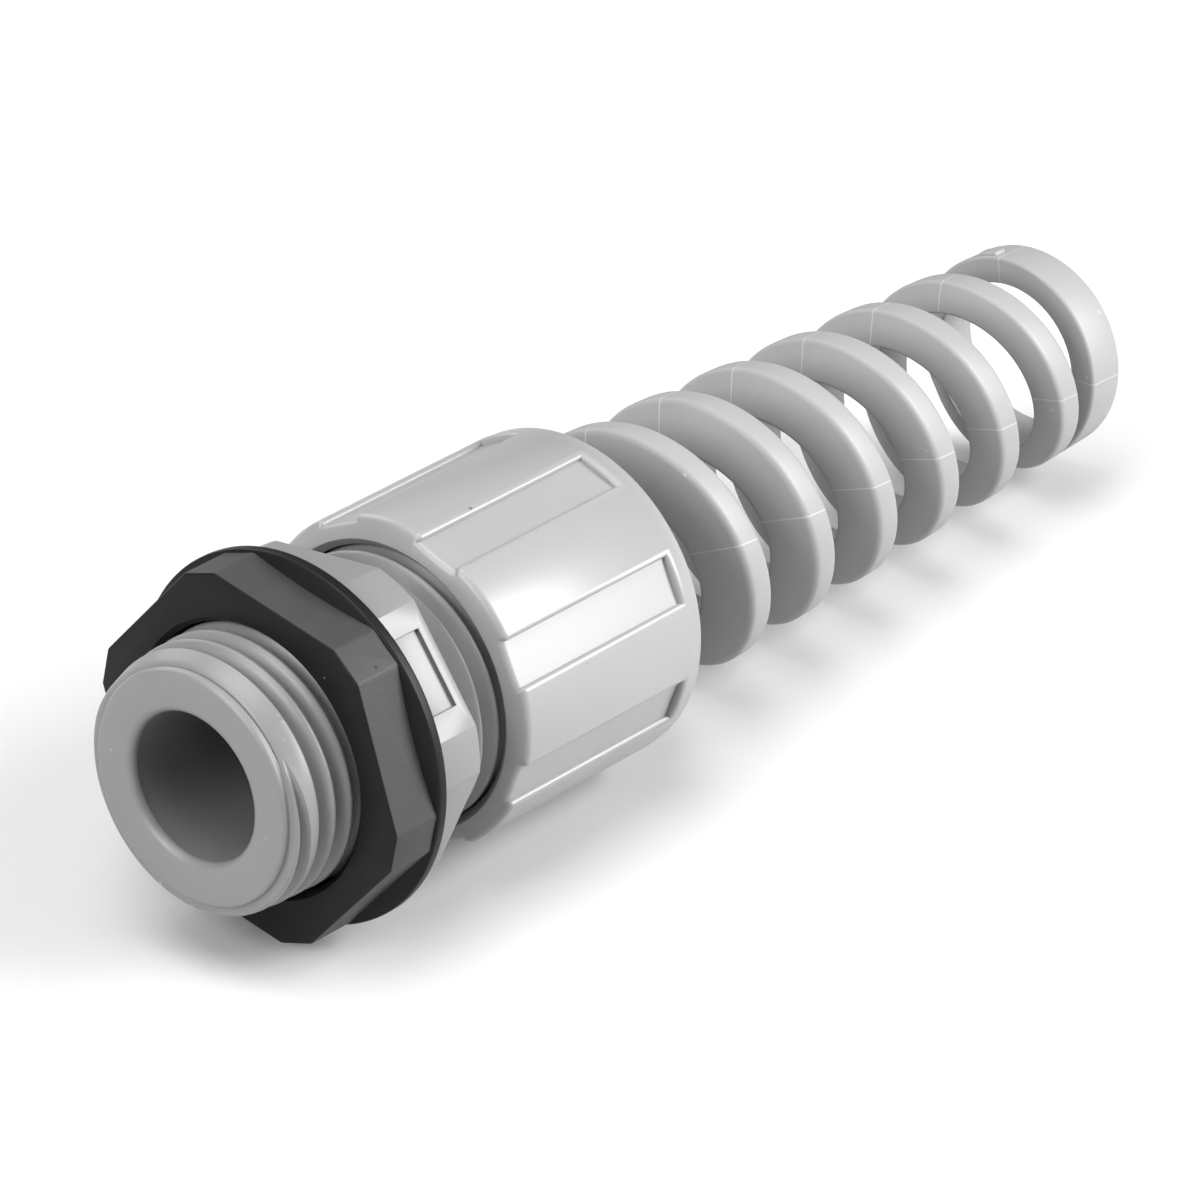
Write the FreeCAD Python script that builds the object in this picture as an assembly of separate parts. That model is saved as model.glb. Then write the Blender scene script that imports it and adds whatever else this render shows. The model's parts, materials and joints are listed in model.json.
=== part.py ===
import FreeCAD, Part

import math
import os

# A threaded cord grip with a spiral bend relief, lying on its locknut and its compression nut.
# Every piece is modelled on the X axis, with the face of the entry thread at x = 0 and the spiral
# towards +X. Lengths are in millimetres and angles in degrees. A turn angle is measured about X,
# from +Z towards +Y. The last step lays the whole assembly on the floor.

# Entry thread, which goes through the wall of the box
ENTRY_RADIUS = 10.36
ENTRY_LENGTH = 11.7
ENTRY_BORE_RADIUS = 6.05
ENTRY_LIP_ROUND = 0.7
ENTRY_NOSE_RADIUS = 9.4
ENTRY_NOSE_LENGTH = 0.3
ENTRY_NOSE_ROUND = 0.2
ENTRY_LEAD_DROP = 0.2
ENTRY_LEAD_LENGTH = 1.9
ENTRY_TAPER = 1 / 32

# Hexagon of the body
BODY_HEX_SET_BACK = 0.75
BODY_HEX_CORNER_PROUD = 0.25
BODY_HEX_LENGTH = 5.05
BODY_HEX_TURN = -52.2
MARK_POCKET_WIDTH = 6.3
MARK_POCKET_LENGTH = 2.8
MARK_POCKET_DEPTH = 0.35
MARK_POCKET_MARGIN = 0.9

# Clamping thread behind the hexagon
CLAMP_RADIUS = 11.05
CLAMP_THREAD_DEPTH = 0.95
CLAMP_NECK_LENGTH = 2.25
CLAMP_THREAD_LENGTH = 10.6
CLAMP_END_CHAMFER = 0.7

# Clamping fingers, moulded on the end of the body
FINGER_COUNT = 8
FINGER_LENGTH = 6.0
FINGER_ROOT_RADIUS = 9.65
FINGER_TIP_RADIUS = 8.95
FINGER_SLOT_WIDTH = 1.4
FINGER_TIP_CHAMFER = 0.5

# Sealing grommet inside the fingers
GROMMET_RADIUS = 8.0
GROMMET_BORE_RADIUS = 5.0
GROMMET_FLOOR = 2.6
GROMMET_RIM_CHAMFER = 0.7
GROMMET_END_RECESS = 0.7

# Locknut
LOCKNUT_FLATS = 27.0
LOCKNUT_CORNER_FLATS = 29.35
LOCKNUT_LENGTH = 5.4
LOCKNUT_TURN = -9.9
LOCKNUT_FLANGE_RADIUS = 14.95
LOCKNUT_RIM_LENGTH = 0.9
LOCKNUT_RIM_SLOPE = 0.5
LOCKNUT_MOUTH_CHAMFER = 0.4

# Compression nut
NUT_GAP = 5.25
NUT_LENGTH = 21.1
NUT_WALL = 2.3
NUT_GROOVE_COUNT = 8
NUT_GROOVE_DEPTH = 0.6
NUT_GROOVE_WIDTH = 3.7
NUT_GROOVE_TURN = -18.4
NUT_REAR_RIM = 1.95
NUT_REAR_BEVEL_LENGTH = 1.3
NUT_REAR_BEVEL_DROP = 0.1
NUT_MOUTH_OPENING = 0.95
NUT_MOUTH_CHAMFER = 0.6
NUT_FACE_SLOPE = 0.6
NUT_REAR_WALL = 2.3
NUT_CONE_LENGTH = 3.1
NUT_CONE_RADIUS = 9.0

# Spiral bend relief
SPIRAL_BASE_RADIUS = 11.25
SPIRAL_END_RADIUS = 8.7
SPIRAL_BORE_RADIUS = 6.6
SPIRAL_PITCH = 8.39
SPIRAL_BAND_WIDTH = 2.45
SPIRAL_FLANK_SPREAD = 1.95
SPIRAL_LEAN = 5.6
SPIRAL_LEAN_TURN = 157.0
SPIRAL_COLLAR_LENGTH = 1.4
SPIRAL_SLOT_START = 1.35
SPIRAL_SLOT_TURN = 137.0
SPIRAL_SLOT_TURNS = 6.9
SPIRAL_ROOT_ANGLE = 90.0
SPIRAL_RING_PLACE = 55.65
SPIRAL_RING_LENGTH = 3.95
SPIRAL_END_CHAMFER = 0.4
SPIRAL_NECK_RADIUS = 8.2
SPIRAL_BARB_RADIUS = 8.6
SPIRAL_BARB_LENGTH = 1.2

# Clearances between pieces that move on each other
THREAD_CLEARANCE = 0.10
GROMMET_CLEARANCE = 0.05
NECK_CLEARANCE = 0.08
FACE_CLEARANCE = 0.05

# Depth that a cutting tool passes beyond the face it opens
CUT_MARGIN = 1.0

# Radii that follow from the clamping thread: the nut goes over it, and the hexagon matches the nut
NUT_BORE_RADIUS = CLAMP_RADIUS + THREAD_CLEARANCE
NUT_RADIUS = NUT_BORE_RADIUS + NUT_WALL
BODY_HEX_FLATS = 2 * (NUT_RADIUS - BODY_HEX_SET_BACK)
BODY_HEX_CORNER_RADIUS = NUT_RADIUS + BODY_HEX_CORNER_PROUD

# Places along the axis
ENTRY_LEAD_END = ENTRY_NOSE_LENGTH + ENTRY_LEAD_LENGTH
HEX_START = ENTRY_LENGTH
HEX_END = HEX_START + BODY_HEX_LENGTH
CLAMP_START = HEX_END + CLAMP_NECK_LENGTH
CLAMP_END = CLAMP_START + CLAMP_THREAD_LENGTH
FINGER_END = CLAMP_END + FINGER_LENGTH
GROMMET_START = HEX_END + GROMMET_FLOOR
GROMMET_END = FINGER_END - GROMMET_END_RECESS
LOCKNUT_END = HEX_START - FACE_CLEARANCE
LOCKNUT_START = LOCKNUT_END - LOCKNUT_LENGTH
NUT_START = HEX_END + NUT_GAP
NUT_END = NUT_START + NUT_LENGTH
NUT_WALL_START = NUT_END - NUT_REAR_WALL
SPIRAL_START = NUT_END + FACE_CLEARANCE
SPIRAL_COLLAR_END = SPIRAL_START + SPIRAL_COLLAR_LENGTH
SPIRAL_RING_START = NUT_END + SPIRAL_RING_PLACE
SPIRAL_END = SPIRAL_RING_START + SPIRAL_RING_LENGTH

AXIS = FreeCAD.Vector(1, 0, 0)
ORIGIN = FreeCAD.Vector(0, 0, 0)


def at(x, radius, turn=0.0):
    """A point at a place along the axis, a radius and a turn angle."""
    a = math.radians(turn)
    return FreeCAD.Vector(x, radius * math.sin(a), radius * math.cos(a))


def turned(points):
    """A solid of revolution about the axis, from the (x, radius) corners of its section."""
    wire = Part.makePolygon([at(x, r) for x, r in points + points[:1]])
    return Part.Face(wire).revolve(ORIGIN, AXIS, 360)


def prism(corners, start, end):
    """A straight prism along the axis over a polygon of (radius, turn) corners."""
    wire = Part.makePolygon([at(start, r, a) for r, a in corners + corners[:1]])
    return Part.Face(wire).extrude(FreeCAD.Vector(end - start, 0, 0))


def hexagon(flats, turn):
    """Corners of a hexagon with one flat facing the turn angle."""
    corner = flats / 2 / math.cos(math.radians(30))
    return [(corner, turn + 30 + 60 * i) for i in range(6)]


def block(start, end, width, low, high, turn):
    """A box along the axis, across the turn angle, between two heights from the axis."""
    box = Part.makeBox(end - start, width, high - low, FreeCAD.Vector(start, -width / 2, low))
    return box.rotate(ORIGIN, AXIS, -turn)


def coiled(section, pitch, start, turn, turns, narrowing):
    """Sweeps a closed (x, radius) section on a right-handed helix that starts at a turn angle.

    The helix lies on a cone that grows narrower towards +X by the given angle. It is drawn from its
    narrow end, because a helix can only grow wider."""
    length = pitch * turns
    narrower = length * math.tan(math.radians(narrowing))
    middle = sum(r for _, r in section) / len(section)
    helix = Part.makeHelix(pitch, length, middle - narrower, narrowing)
    corners = [FreeCAD.Vector(r - narrower, 0, -x) for x, r in section]
    sweep = Part.Wire(helix.Edges).makePipeShell([Part.makePolygon(corners + corners[:1])], True, True)
    from_end = FreeCAD.Rotation(FreeCAD.Vector(0, 0, 1), FreeCAD.Vector(0, 1, 0), -AXIS, "XYZ")
    sweep.Placement = FreeCAD.Placement(FreeCAD.Vector(start + length, 0, 0), from_end)
    return sweep.rotate(ORIGIN, AXIS, 360 * turns - turn)


def leaning(solid, angle, turn):
    """Moves each point along the axis, so that what stood square leans forwards at the turn angle."""
    lean = at(0, math.tan(math.radians(angle)), turn)
    matrix = FreeCAD.Matrix()
    matrix.A12, matrix.A13 = lean.y, lean.z
    return solid.transformGeometry(matrix)


def entry_crest(x):
    """Crest radius of the tapered entry thread at a place along the axis."""
    return ENTRY_RADIUS + ENTRY_TAPER * x


def gland_body():
    """The moulded body: entry thread, hexagon, clamping thread and clamping fingers."""
    seat = GROMMET_RADIUS + GROMMET_CLEARANCE
    root = CLAMP_RADIUS - CLAMP_THREAD_DEPTH
    lip = ENTRY_LIP_ROUND
    ease = lip * (1 - math.sqrt(0.5))
    solid = turned([
        (lip, ENTRY_BORE_RADIUS),
        (ease, ENTRY_BORE_RADIUS + ease),
        (0, ENTRY_BORE_RADIUS + lip),
        (0, ENTRY_NOSE_RADIUS - ENTRY_NOSE_ROUND),
        (ENTRY_NOSE_ROUND, ENTRY_NOSE_RADIUS),
        (ENTRY_NOSE_LENGTH, ENTRY_NOSE_RADIUS),
        (ENTRY_NOSE_LENGTH, ENTRY_RADIUS - ENTRY_LEAD_DROP),
        (ENTRY_LEAD_END, entry_crest(ENTRY_LEAD_END)),
        (HEX_START, entry_crest(HEX_START)),
        (HEX_START, root),
        (CLAMP_START, root),
        (CLAMP_START + CLAMP_THREAD_DEPTH, CLAMP_RADIUS),
        (CLAMP_END - CLAMP_END_CHAMFER, CLAMP_RADIUS),
        (CLAMP_END, CLAMP_RADIUS - CLAMP_END_CHAMFER),
        (CLAMP_END, FINGER_ROOT_RADIUS),
        (FINGER_END - FINGER_TIP_CHAMFER, FINGER_TIP_RADIUS),
        (FINGER_END, FINGER_TIP_RADIUS - FINGER_TIP_CHAMFER),
        (FINGER_END, seat),
        (GROMMET_START, seat),
        (GROMMET_START, ENTRY_BORE_RADIUS),
    ])

    hex_prism = prism(hexagon(BODY_HEX_FLATS, BODY_HEX_TURN), HEX_START, HEX_END)
    hex_disc = turned([
        (HEX_START, seat),
        (HEX_START, BODY_HEX_CORNER_RADIUS),
        (HEX_END, BODY_HEX_CORNER_RADIUS),
        (HEX_END, seat),
    ])
    solid = solid.fuse(hex_prism.common(hex_disc))
    flat = BODY_HEX_FLATS / 2
    pocket_end = HEX_END - MARK_POCKET_MARGIN
    solid = solid.cut(block(pocket_end - MARK_POCKET_LENGTH, pocket_end, MARK_POCKET_WIDTH,
                            flat - MARK_POCKET_DEPTH, flat + CUT_MARGIN, BODY_HEX_TURN))

    slots = [block(CLAMP_END, FINGER_END + CUT_MARGIN, FINGER_SLOT_WIDTH, GROMMET_BORE_RADIUS,
                   FINGER_ROOT_RADIUS + CUT_MARGIN, 360 * i / FINGER_COUNT) for i in range(FINGER_COUNT)]
    return solid.cut(slots)


def sealing_grommet():
    """The elastic bush that the fingers press on to the cord."""
    rim = GROMMET_RIM_CHAMFER
    return turned([
        (GROMMET_START, GROMMET_BORE_RADIUS + rim),
        (GROMMET_START, GROMMET_RADIUS - rim),
        (GROMMET_START + rim, GROMMET_RADIUS),
        (GROMMET_END - rim, GROMMET_RADIUS),
        (GROMMET_END, GROMMET_RADIUS - rim),
        (GROMMET_END, GROMMET_BORE_RADIUS + rim),
        (GROMMET_END - rim, GROMMET_BORE_RADIUS),
        (GROMMET_START + rim, GROMMET_BORE_RADIUS),
    ])


def locknut():
    """The flat nut that holds the body in the wall, with cut corners and a round flange."""
    bore = entry_crest(HEX_START) + THREAD_CLEARANCE
    mouth = LOCKNUT_MOUTH_CHAMFER
    rim = LOCKNUT_END - LOCKNUT_RIM_LENGTH
    corners = prism(hexagon(LOCKNUT_CORNER_FLATS, LOCKNUT_TURN + 30), LOCKNUT_START, LOCKNUT_END)
    solid = prism(hexagon(LOCKNUT_FLATS, LOCKNUT_TURN), LOCKNUT_START, LOCKNUT_END).common(corners)
    flange = turned([
        (rim - LOCKNUT_RIM_SLOPE, bore),
        (rim - LOCKNUT_RIM_SLOPE, LOCKNUT_FLATS / 2),
        (rim, LOCKNUT_FLANGE_RADIUS),
        (LOCKNUT_END, LOCKNUT_FLANGE_RADIUS),
        (LOCKNUT_END, bore),
    ])
    hole = turned([
        (LOCKNUT_START - CUT_MARGIN, 0),
        (LOCKNUT_START - CUT_MARGIN, bore + mouth + CUT_MARGIN),
        (LOCKNUT_START + mouth, bore),
        (LOCKNUT_END - mouth, bore),
        (LOCKNUT_END + CUT_MARGIN, bore + mouth + CUT_MARGIN),
        (LOCKNUT_END + CUT_MARGIN, 0),
    ])
    return solid.fuse(flange).cut(hole)


def compression_nut():
    """The long nut with wrench grooves and an inner cone that bends the fingers inwards."""
    bore = NUT_BORE_RADIUS
    neck = SPIRAL_NECK_RADIUS + NECK_CLEARANCE
    solid = turned([
        (NUT_START, bore + NUT_MOUTH_OPENING),
        (NUT_START + NUT_FACE_SLOPE, NUT_RADIUS),
        (NUT_END - NUT_REAR_BEVEL_LENGTH, NUT_RADIUS),
        (NUT_END, NUT_RADIUS - NUT_REAR_BEVEL_DROP),
        (NUT_END, neck),
        (NUT_WALL_START, neck),
        (NUT_WALL_START, NUT_CONE_RADIUS),
        (NUT_WALL_START - NUT_CONE_LENGTH, bore),
        (NUT_START + NUT_MOUTH_CHAMFER, bore),
    ])
    floor = NUT_RADIUS - NUT_GROOVE_DEPTH
    grooves = [block(NUT_START - CUT_MARGIN, NUT_END - NUT_REAR_RIM, NUT_GROOVE_WIDTH, floor,
                     NUT_RADIUS + CUT_MARGIN, NUT_GROOVE_TURN + 360 * i / NUT_GROOVE_COUNT)
               for i in range(NUT_GROOVE_COUNT)]
    return solid.cut(grooves)


def slot_section():
    """The section of the slot between two coils, widest at the outside."""
    outer = (SPIRAL_PITCH - SPIRAL_BAND_WIDTH) / 2
    inner = outer - SPIRAL_FLANK_SPREAD
    over = SPIRAL_FLANK_SPREAD / (SPIRAL_BASE_RADIUS - SPIRAL_BORE_RADIUS) * CUT_MARGIN
    return [
        (-outer - over, SPIRAL_BASE_RADIUS + CUT_MARGIN),
        (-inner + over, SPIRAL_BORE_RADIUS - CUT_MARGIN),
        (inner - over, SPIRAL_BORE_RADIUS - CUT_MARGIN),
        (outer + over, SPIRAL_BASE_RADIUS + CUT_MARGIN),
    ]


def spiral_radius(x):
    """Outer radius of the tapered spiral at a place along the axis."""
    taper = (SPIRAL_BASE_RADIUS - SPIRAL_END_RADIUS) / (SPIRAL_END - SPIRAL_END_CHAMFER - SPIRAL_START)
    return SPIRAL_BASE_RADIUS - taper * (x - SPIRAL_START)


def bend_relief():
    """The tapered spiral, cut from a tube by one long slot, with a neck that snaps into the nut."""
    barb_start = NUT_WALL_START - FACE_CLEARANCE - SPIRAL_BARB_LENGTH
    collar = turned([
        (barb_start, SPIRAL_BORE_RADIUS),
        (barb_start, SPIRAL_NECK_RADIUS),
        (barb_start + SPIRAL_BARB_LENGTH / 2, SPIRAL_BARB_RADIUS),
        (barb_start + SPIRAL_BARB_LENGTH, SPIRAL_BARB_RADIUS),
        (barb_start + SPIRAL_BARB_LENGTH, SPIRAL_NECK_RADIUS),
        (SPIRAL_START, SPIRAL_NECK_RADIUS),
        (SPIRAL_START, SPIRAL_BASE_RADIUS),
        (SPIRAL_COLLAR_END, spiral_radius(SPIRAL_COLLAR_END)),
        (SPIRAL_COLLAR_END, SPIRAL_BORE_RADIUS),
    ])
    tube = turned([
        (SPIRAL_COLLAR_END, SPIRAL_BORE_RADIUS),
        (SPIRAL_COLLAR_END, spiral_radius(SPIRAL_COLLAR_END)),
        (SPIRAL_RING_START, spiral_radius(SPIRAL_RING_START)),
        (SPIRAL_RING_START, SPIRAL_BORE_RADIUS),
    ])
    ring = turned([
        (SPIRAL_RING_START, SPIRAL_BORE_RADIUS),
        (SPIRAL_RING_START, spiral_radius(SPIRAL_RING_START)),
        (SPIRAL_END - SPIRAL_END_CHAMFER, SPIRAL_END_RADIUS),
        (SPIRAL_END, SPIRAL_END_RADIUS - SPIRAL_END_CHAMFER),
        (SPIRAL_END, SPIRAL_BORE_RADIUS),
    ])
    start = SPIRAL_START + SPIRAL_SLOT_START
    narrowing = math.degrees(math.atan(SPIRAL_BASE_RADIUS - spiral_radius(SPIRAL_START + 1)))
    slot = coiled(slot_section(), SPIRAL_PITCH, start, SPIRAL_SLOT_TURN, SPIRAL_SLOT_TURNS, narrowing)

    # A second, flatter slot frees the first turn from the collar up to the root of the spiral.
    free_turns = 1 - SPIRAL_ROOT_ANGLE / 360
    free_rise = SPIRAL_COLLAR_END + (SPIRAL_PITCH - SPIRAL_BAND_WIDTH) / 2 - start
    first_turn = coiled(slot_section(), free_rise / free_turns, start, SPIRAL_SLOT_TURN, free_turns, narrowing)
    for cutter in (slot, first_turn):
        tube = tube.cut(leaning(cutter, SPIRAL_LEAN, SPIRAL_LEAN_TURN))
    return tube.fuse([collar, ring])


def resting_place(shapes):
    """Lays the assembly on the floor, on the locknut's rim and the last of the nut's pads."""
    pad_end = NUT_END - NUT_REAR_BEVEL_LENGTH
    tilt = math.degrees(math.atan((LOCKNUT_FLANGE_RADIUS - NUT_RADIUS) / (pad_end - LOCKNUT_END)))
    laid = FreeCAD.Placement(ORIGIN, FreeCAD.Rotation(FreeCAD.Vector(0, 1, 0), tilt))
    box = Part.Compound([s.transformed(laid.Matrix) for s in shapes]).optimalBoundingBox(False)
    centre = FreeCAD.Vector((box.XMin + box.XMax) / 2, (box.YMin + box.YMax) / 2, box.ZMin)
    return FreeCAD.Placement(-centre, laid.Rotation)


PIECES = {
    "gland_body": gland_body,
    "sealing_grommet": sealing_grommet,
    "locknut": locknut,
    "compression_nut": compression_nut,
    "bend_relief": bend_relief,
}


def main():
    os.makedirs("parts", exist_ok=True)
    shapes = {name: make() for name, make in PIECES.items()}
    place = resting_place(list(shapes.values()))
    for name, shape in shapes.items():
        shape.transformed(place.Matrix).exportStep(f"parts/{name}.step")
    print("tilt", place.Rotation.toEuler()[1], "origin of the axis", place.Base)


if __name__ == "__main__":
    main()
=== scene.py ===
import json
import math

import bpy
from bpy.props import FloatProperty, FloatVectorProperty, IntProperty, PointerProperty
from bpy.types import Operator, Panel, PropertyGroup
from mathutils import Matrix, Vector


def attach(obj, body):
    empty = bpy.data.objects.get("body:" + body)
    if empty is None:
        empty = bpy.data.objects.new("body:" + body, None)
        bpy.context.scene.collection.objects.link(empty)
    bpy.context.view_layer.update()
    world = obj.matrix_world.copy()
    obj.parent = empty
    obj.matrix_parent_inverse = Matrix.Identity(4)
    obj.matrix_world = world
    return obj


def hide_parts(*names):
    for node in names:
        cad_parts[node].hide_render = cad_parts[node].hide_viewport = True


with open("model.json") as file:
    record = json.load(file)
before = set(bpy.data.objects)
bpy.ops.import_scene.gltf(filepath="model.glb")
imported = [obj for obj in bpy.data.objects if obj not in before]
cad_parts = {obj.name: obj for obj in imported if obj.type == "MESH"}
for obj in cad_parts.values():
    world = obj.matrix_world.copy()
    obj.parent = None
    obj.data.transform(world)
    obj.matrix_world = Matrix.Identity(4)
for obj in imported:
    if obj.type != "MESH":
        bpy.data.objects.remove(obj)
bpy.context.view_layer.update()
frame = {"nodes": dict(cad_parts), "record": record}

bl_info = {
    "name": "Cord grip with spiral bend relief",
    "version": (1, 0, 0),
    "blender": (4, 5, 0),
    "location": "3D View > Sidebar > Cord grip",
    "description": "Builds the moulded pieces of a cord grip round its packed frame",
    "category": "Add Mesh",
}

# Every piece is modelled in millimetres on the part's own axis: x runs from the entry face at 0 towards
# the end of the spiral, and a turn angle is measured about x from +Z towards +Y. Its last step lays it
# in the frame, where lengths are metres.
MM = 0.001

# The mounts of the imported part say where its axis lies
MOUNTS = {m["name"]: m for m in frame["record"]["mounts"]}
AXIS = Vector(MOUNTS["cord_bore"]["axis"])
TILT = math.atan2(-AXIS.z, AXIS.x)
ENTRY_MOUNT_PLACE = 6.95
START = Vector(MOUNTS["entry_thread"]["pos_m"]) - AXIS * ENTRY_MOUNT_PLACE * MM
LAID = Matrix.Translation(START) @ Matrix.Rotation(TILT, 4, "Y") @ Matrix.Scale(MM, 4)

# Places along the axis
CREST_START = 2.2
HEX_START, HEX_END = 11.7, 16.75
CLAMP_START, CLAMP_END = 19.0, 29.6
SEAT_START = 19.35
FINGER_END = 35.6
LOCKNUT_START, LOCKNUT_END = 6.25, 11.65
NUT_START, NUT_END = 22.0, 43.1
NUT_WALL_START = 40.8
PAD_END, PAD_STEP_END = 41.8, 41.9
COLLAR_START, COLLAR_END = 43.15, 44.55
RING_START, SPIRAL_END = 98.75, 102.7

# How far a cutter reaches past what it cuts, and the body's step into the hexagon
PAST = 1.0


# Settings

def size(name, description, default):
    """A length in millimetres that the sidebar shows."""
    return FloatProperty(name=name, description=description + ", in millimetres", default=default,
                         min=0.0, precision=3)


def turn_angle(name, description, degrees):
    """An angle that the sidebar shows."""
    return FloatProperty(name=name, description=description, default=math.radians(degrees),
                         subtype="ANGLE", unit="ROTATION")


def tint(name, description, default):
    """A colour that the sidebar shows."""
    return FloatVectorProperty(name=name, description=description, default=default, subtype="COLOR",
                               size=3, min=0.0, max=1.0)


def power(name, description, watts):
    """A lamp's power that the sidebar shows."""
    return FloatProperty(name=name, description=description, default=watts, min=0.0, unit="POWER")


class GripBodySettings(PropertyGroup):
    bore: size("Entry bore", "Radius of the cord's way in", 6.05)
    nose: size("Nose", "Radius of the raised front face", 9.4)
    entry_crest: size("Entry crest", "Crest radius of the entry thread at its small end", 10.36)
    entry_depth: size("Entry depth", "Depth of the entry thread's groove", 1.05)
    entry_pitch: size("Entry pitch", "Pitch of the entry thread, 14 an inch", 1.814)
    clamp_crest: size("Clamp crest", "Crest radius of the clamping thread", 11.05)
    clamp_depth: size("Clamp depth", "Depth of the clamping thread's groove", 0.95)
    clamp_pitch: size("Clamp pitch", "Pitch of the clamping thread", 1.95)
    hex_flats: size("Hexagon", "Width of the hexagon across its flats", 25.4)
    hex_corner: size("Hexagon corner", "Radius that the hexagon's corners are turned down to", 13.7)
    hex_turn: turn_angle("Hexagon turn", "Turn angle that one flat faces", -52.2)
    seat: size("Seat", "Radius of the grommet's seat", 8.05)


class GripLocknutSettings(PropertyGroup):
    flats: size("Flats", "Width across the six flats", 27.0)
    corner_flats: size("Corner flats", "Width across the six cut corners", 29.35)
    turn: turn_angle("Turn", "Turn angle that one flat faces", -9.9)
    flange: size("Flange", "Radius of the round flange", 14.95)
    bore: size("Bore", "Radius of the bore at the thread's crest", 10.825)


class GripNutSettings(PropertyGroup):
    radius: size("Radius", "Outer radius of the nut over its pads", 13.45)
    bore: size("Bore", "Radius of the bore at the thread's crest", 11.15)
    mouth: size("Mouth", "Radius of the front edge, between its inner and outer cones", 11.75)
    grooves: IntProperty(name="Grooves", description="Number of wrench grooves", default=8, min=1)
    groove_width: size("Groove width", "Width of a wrench groove", 3.7)
    groove_depth: size("Groove depth", "Depth of a wrench groove at its middle", 0.6)
    groove_turn: turn_angle("Groove turn", "Turn angle of one groove", -18.4)


class GripSpiralSettings(PropertyGroup):
    base: size("Base radius", "Outer radius of the spiral at the nut", 11.25)
    tip: size("Tip radius", "Outer radius of the end ring", 8.7)
    bore: size("Bore", "Radius of the passage through the coils", 6.6)
    pitch: size("Pitch", "Rise of the coil in one turn", 8.39)
    band: size("Band", "Width of the coil's outer band", 2.45)
    flank: FloatProperty(name="Flank", default=0.4194, min=0.0, precision=4,
                         description="Widening of the coil to each side towards the axis, per millimetre")
    lean: turn_angle("Lean", "Angle that the coils lean from square", 5.6)
    lean_turn: turn_angle("Lean turn", "Turn angle that the coils lean towards", 157.0)


class GripFinishSettings(PropertyGroup):
    body: tint("Body", "Grey of the moulded body", (0.172, 0.172, 0.171))
    # The sides' lighter black is painted light: the same black as the faces, made lighter where the sides
    # catch the light
    locknut: tint("Locknut", "Black of the locknut", (0.0075, 0.0075, 0.0078))
    locknut_lit_sides: tint("Locknut sides", "Dull black of the locknut's sides", (0.035, 0.035, 0.0354))
    nut: tint("Nut", "Grey of the compression nut", (0.246, 0.246, 0.245))
    spiral: tint("Spiral", "Grey of the spiral", (0.243, 0.243, 0.242))
    grommet: tint("Grommet", "Black of the rubber grommet", (0.012, 0.012, 0.012))


class GripStageSettings(PropertyGroup):
    floor: tint("Floor", "Colour of the floor", (0.55, 0.55, 0.55))
    key: power("Key light", "Strength of the soft light from the camera's right", 7.9)
    top: power("Top light", "Strength of the wide soft light overhead", 3.6)
    fill: power("Fill light", "Strength of the soft light in front of the entry", 3.7)
    back: power("Back light", "Strength of the soft light behind the part", 1.6)
    sky: FloatProperty(name="Sky", description="Strength of the even light from all round", default=0.06,
                       min=0.0)


# Modelling

# Corners closer than this are one, a cut's plane takes in what is this near, and edges flatter than
# this many degrees are shaded smooth
MERGE_DISTANCE = 1e-4
CUT_DISTANCE = 1e-5
SMOOTH_BELOW = 35


def at(place, radius, turn=0.0):
    """A point at a place along the axis, a radius and a turn angle in radians."""
    return Vector((place, radius * math.sin(turn), radius * math.cos(turn)))


def turn_of(point):
    """The turn angle of a point, in radians."""
    return math.atan2(point.y, point.z)


def clear_selection():
    """Leaves edit mode and lets go of everything."""
    if bpy.context.object and bpy.context.object.mode != "OBJECT":
        bpy.ops.object.mode_set(mode="OBJECT")
    bpy.ops.object.select_all(action="DESELECT")


def only(piece):
    """Selects one object alone and makes it the active one."""
    clear_selection()
    piece.select_set(True)
    bpy.context.view_layer.objects.active = piece


def edit_all(piece):
    """Opens a mesh in edit mode with all of it selected."""
    only(piece)
    bpy.ops.object.mode_set(mode="EDIT")
    bpy.ops.mesh.select_mode(type="VERT")
    bpy.ops.mesh.select_all(action="SELECT")


def close_edit():
    """Merges doubles, turns the faces outwards and goes back to object mode."""
    bpy.ops.mesh.select_all(action="SELECT")
    bpy.ops.mesh.remove_doubles(threshold=MERGE_DISTANCE)
    bpy.ops.mesh.normals_make_consistent(inside=False)
    bpy.ops.object.mode_set(mode="OBJECT")


def new_piece(name):
    """Names the primitive that was just added and puts its place and turn into its mesh."""
    piece = bpy.context.object
    piece.name = name
    bpy.ops.object.transform_apply(location=True, rotation=True, scale=True)
    return piece


def with_modifier(piece, kind, **values):
    """Adds a modifier, sets it and applies it."""
    only(piece)
    bpy.ops.object.modifier_add(type=kind)
    modifier = piece.modifiers[-1]
    for name, value in values.items():
        setattr(modifier, name, value)
    bpy.ops.object.modifier_apply(modifier=modifier.name)


def rounded(corners, steps=4):
    """The points of a closed section given as (place, radius, fillet) corners."""
    points = []
    for i, (place, radius, fillet) in enumerate(corners):
        here = Vector((place, radius))
        if not fillet:
            points.append(here)
            continue
        back = (Vector(corners[i - 1][:2]) - here).normalized()
        ahead = (Vector(corners[(i + 1) % len(corners)][:2]) - here).normalized()
        half = back.angle(ahead) / 2
        centre = here + (back + ahead).normalized() * (fillet / math.sin(half))
        first = here + back * (fillet / math.tan(half)) - centre
        last = here + ahead * (fillet / math.tan(half)) - centre
        sweep = math.atan2(first.x * last.y - first.y * last.x, first.dot(last))
        for k in range(steps + 1):
            points.append(centre + Matrix.Rotation(sweep * k / steps, 2) @ first)
    return points


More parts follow.
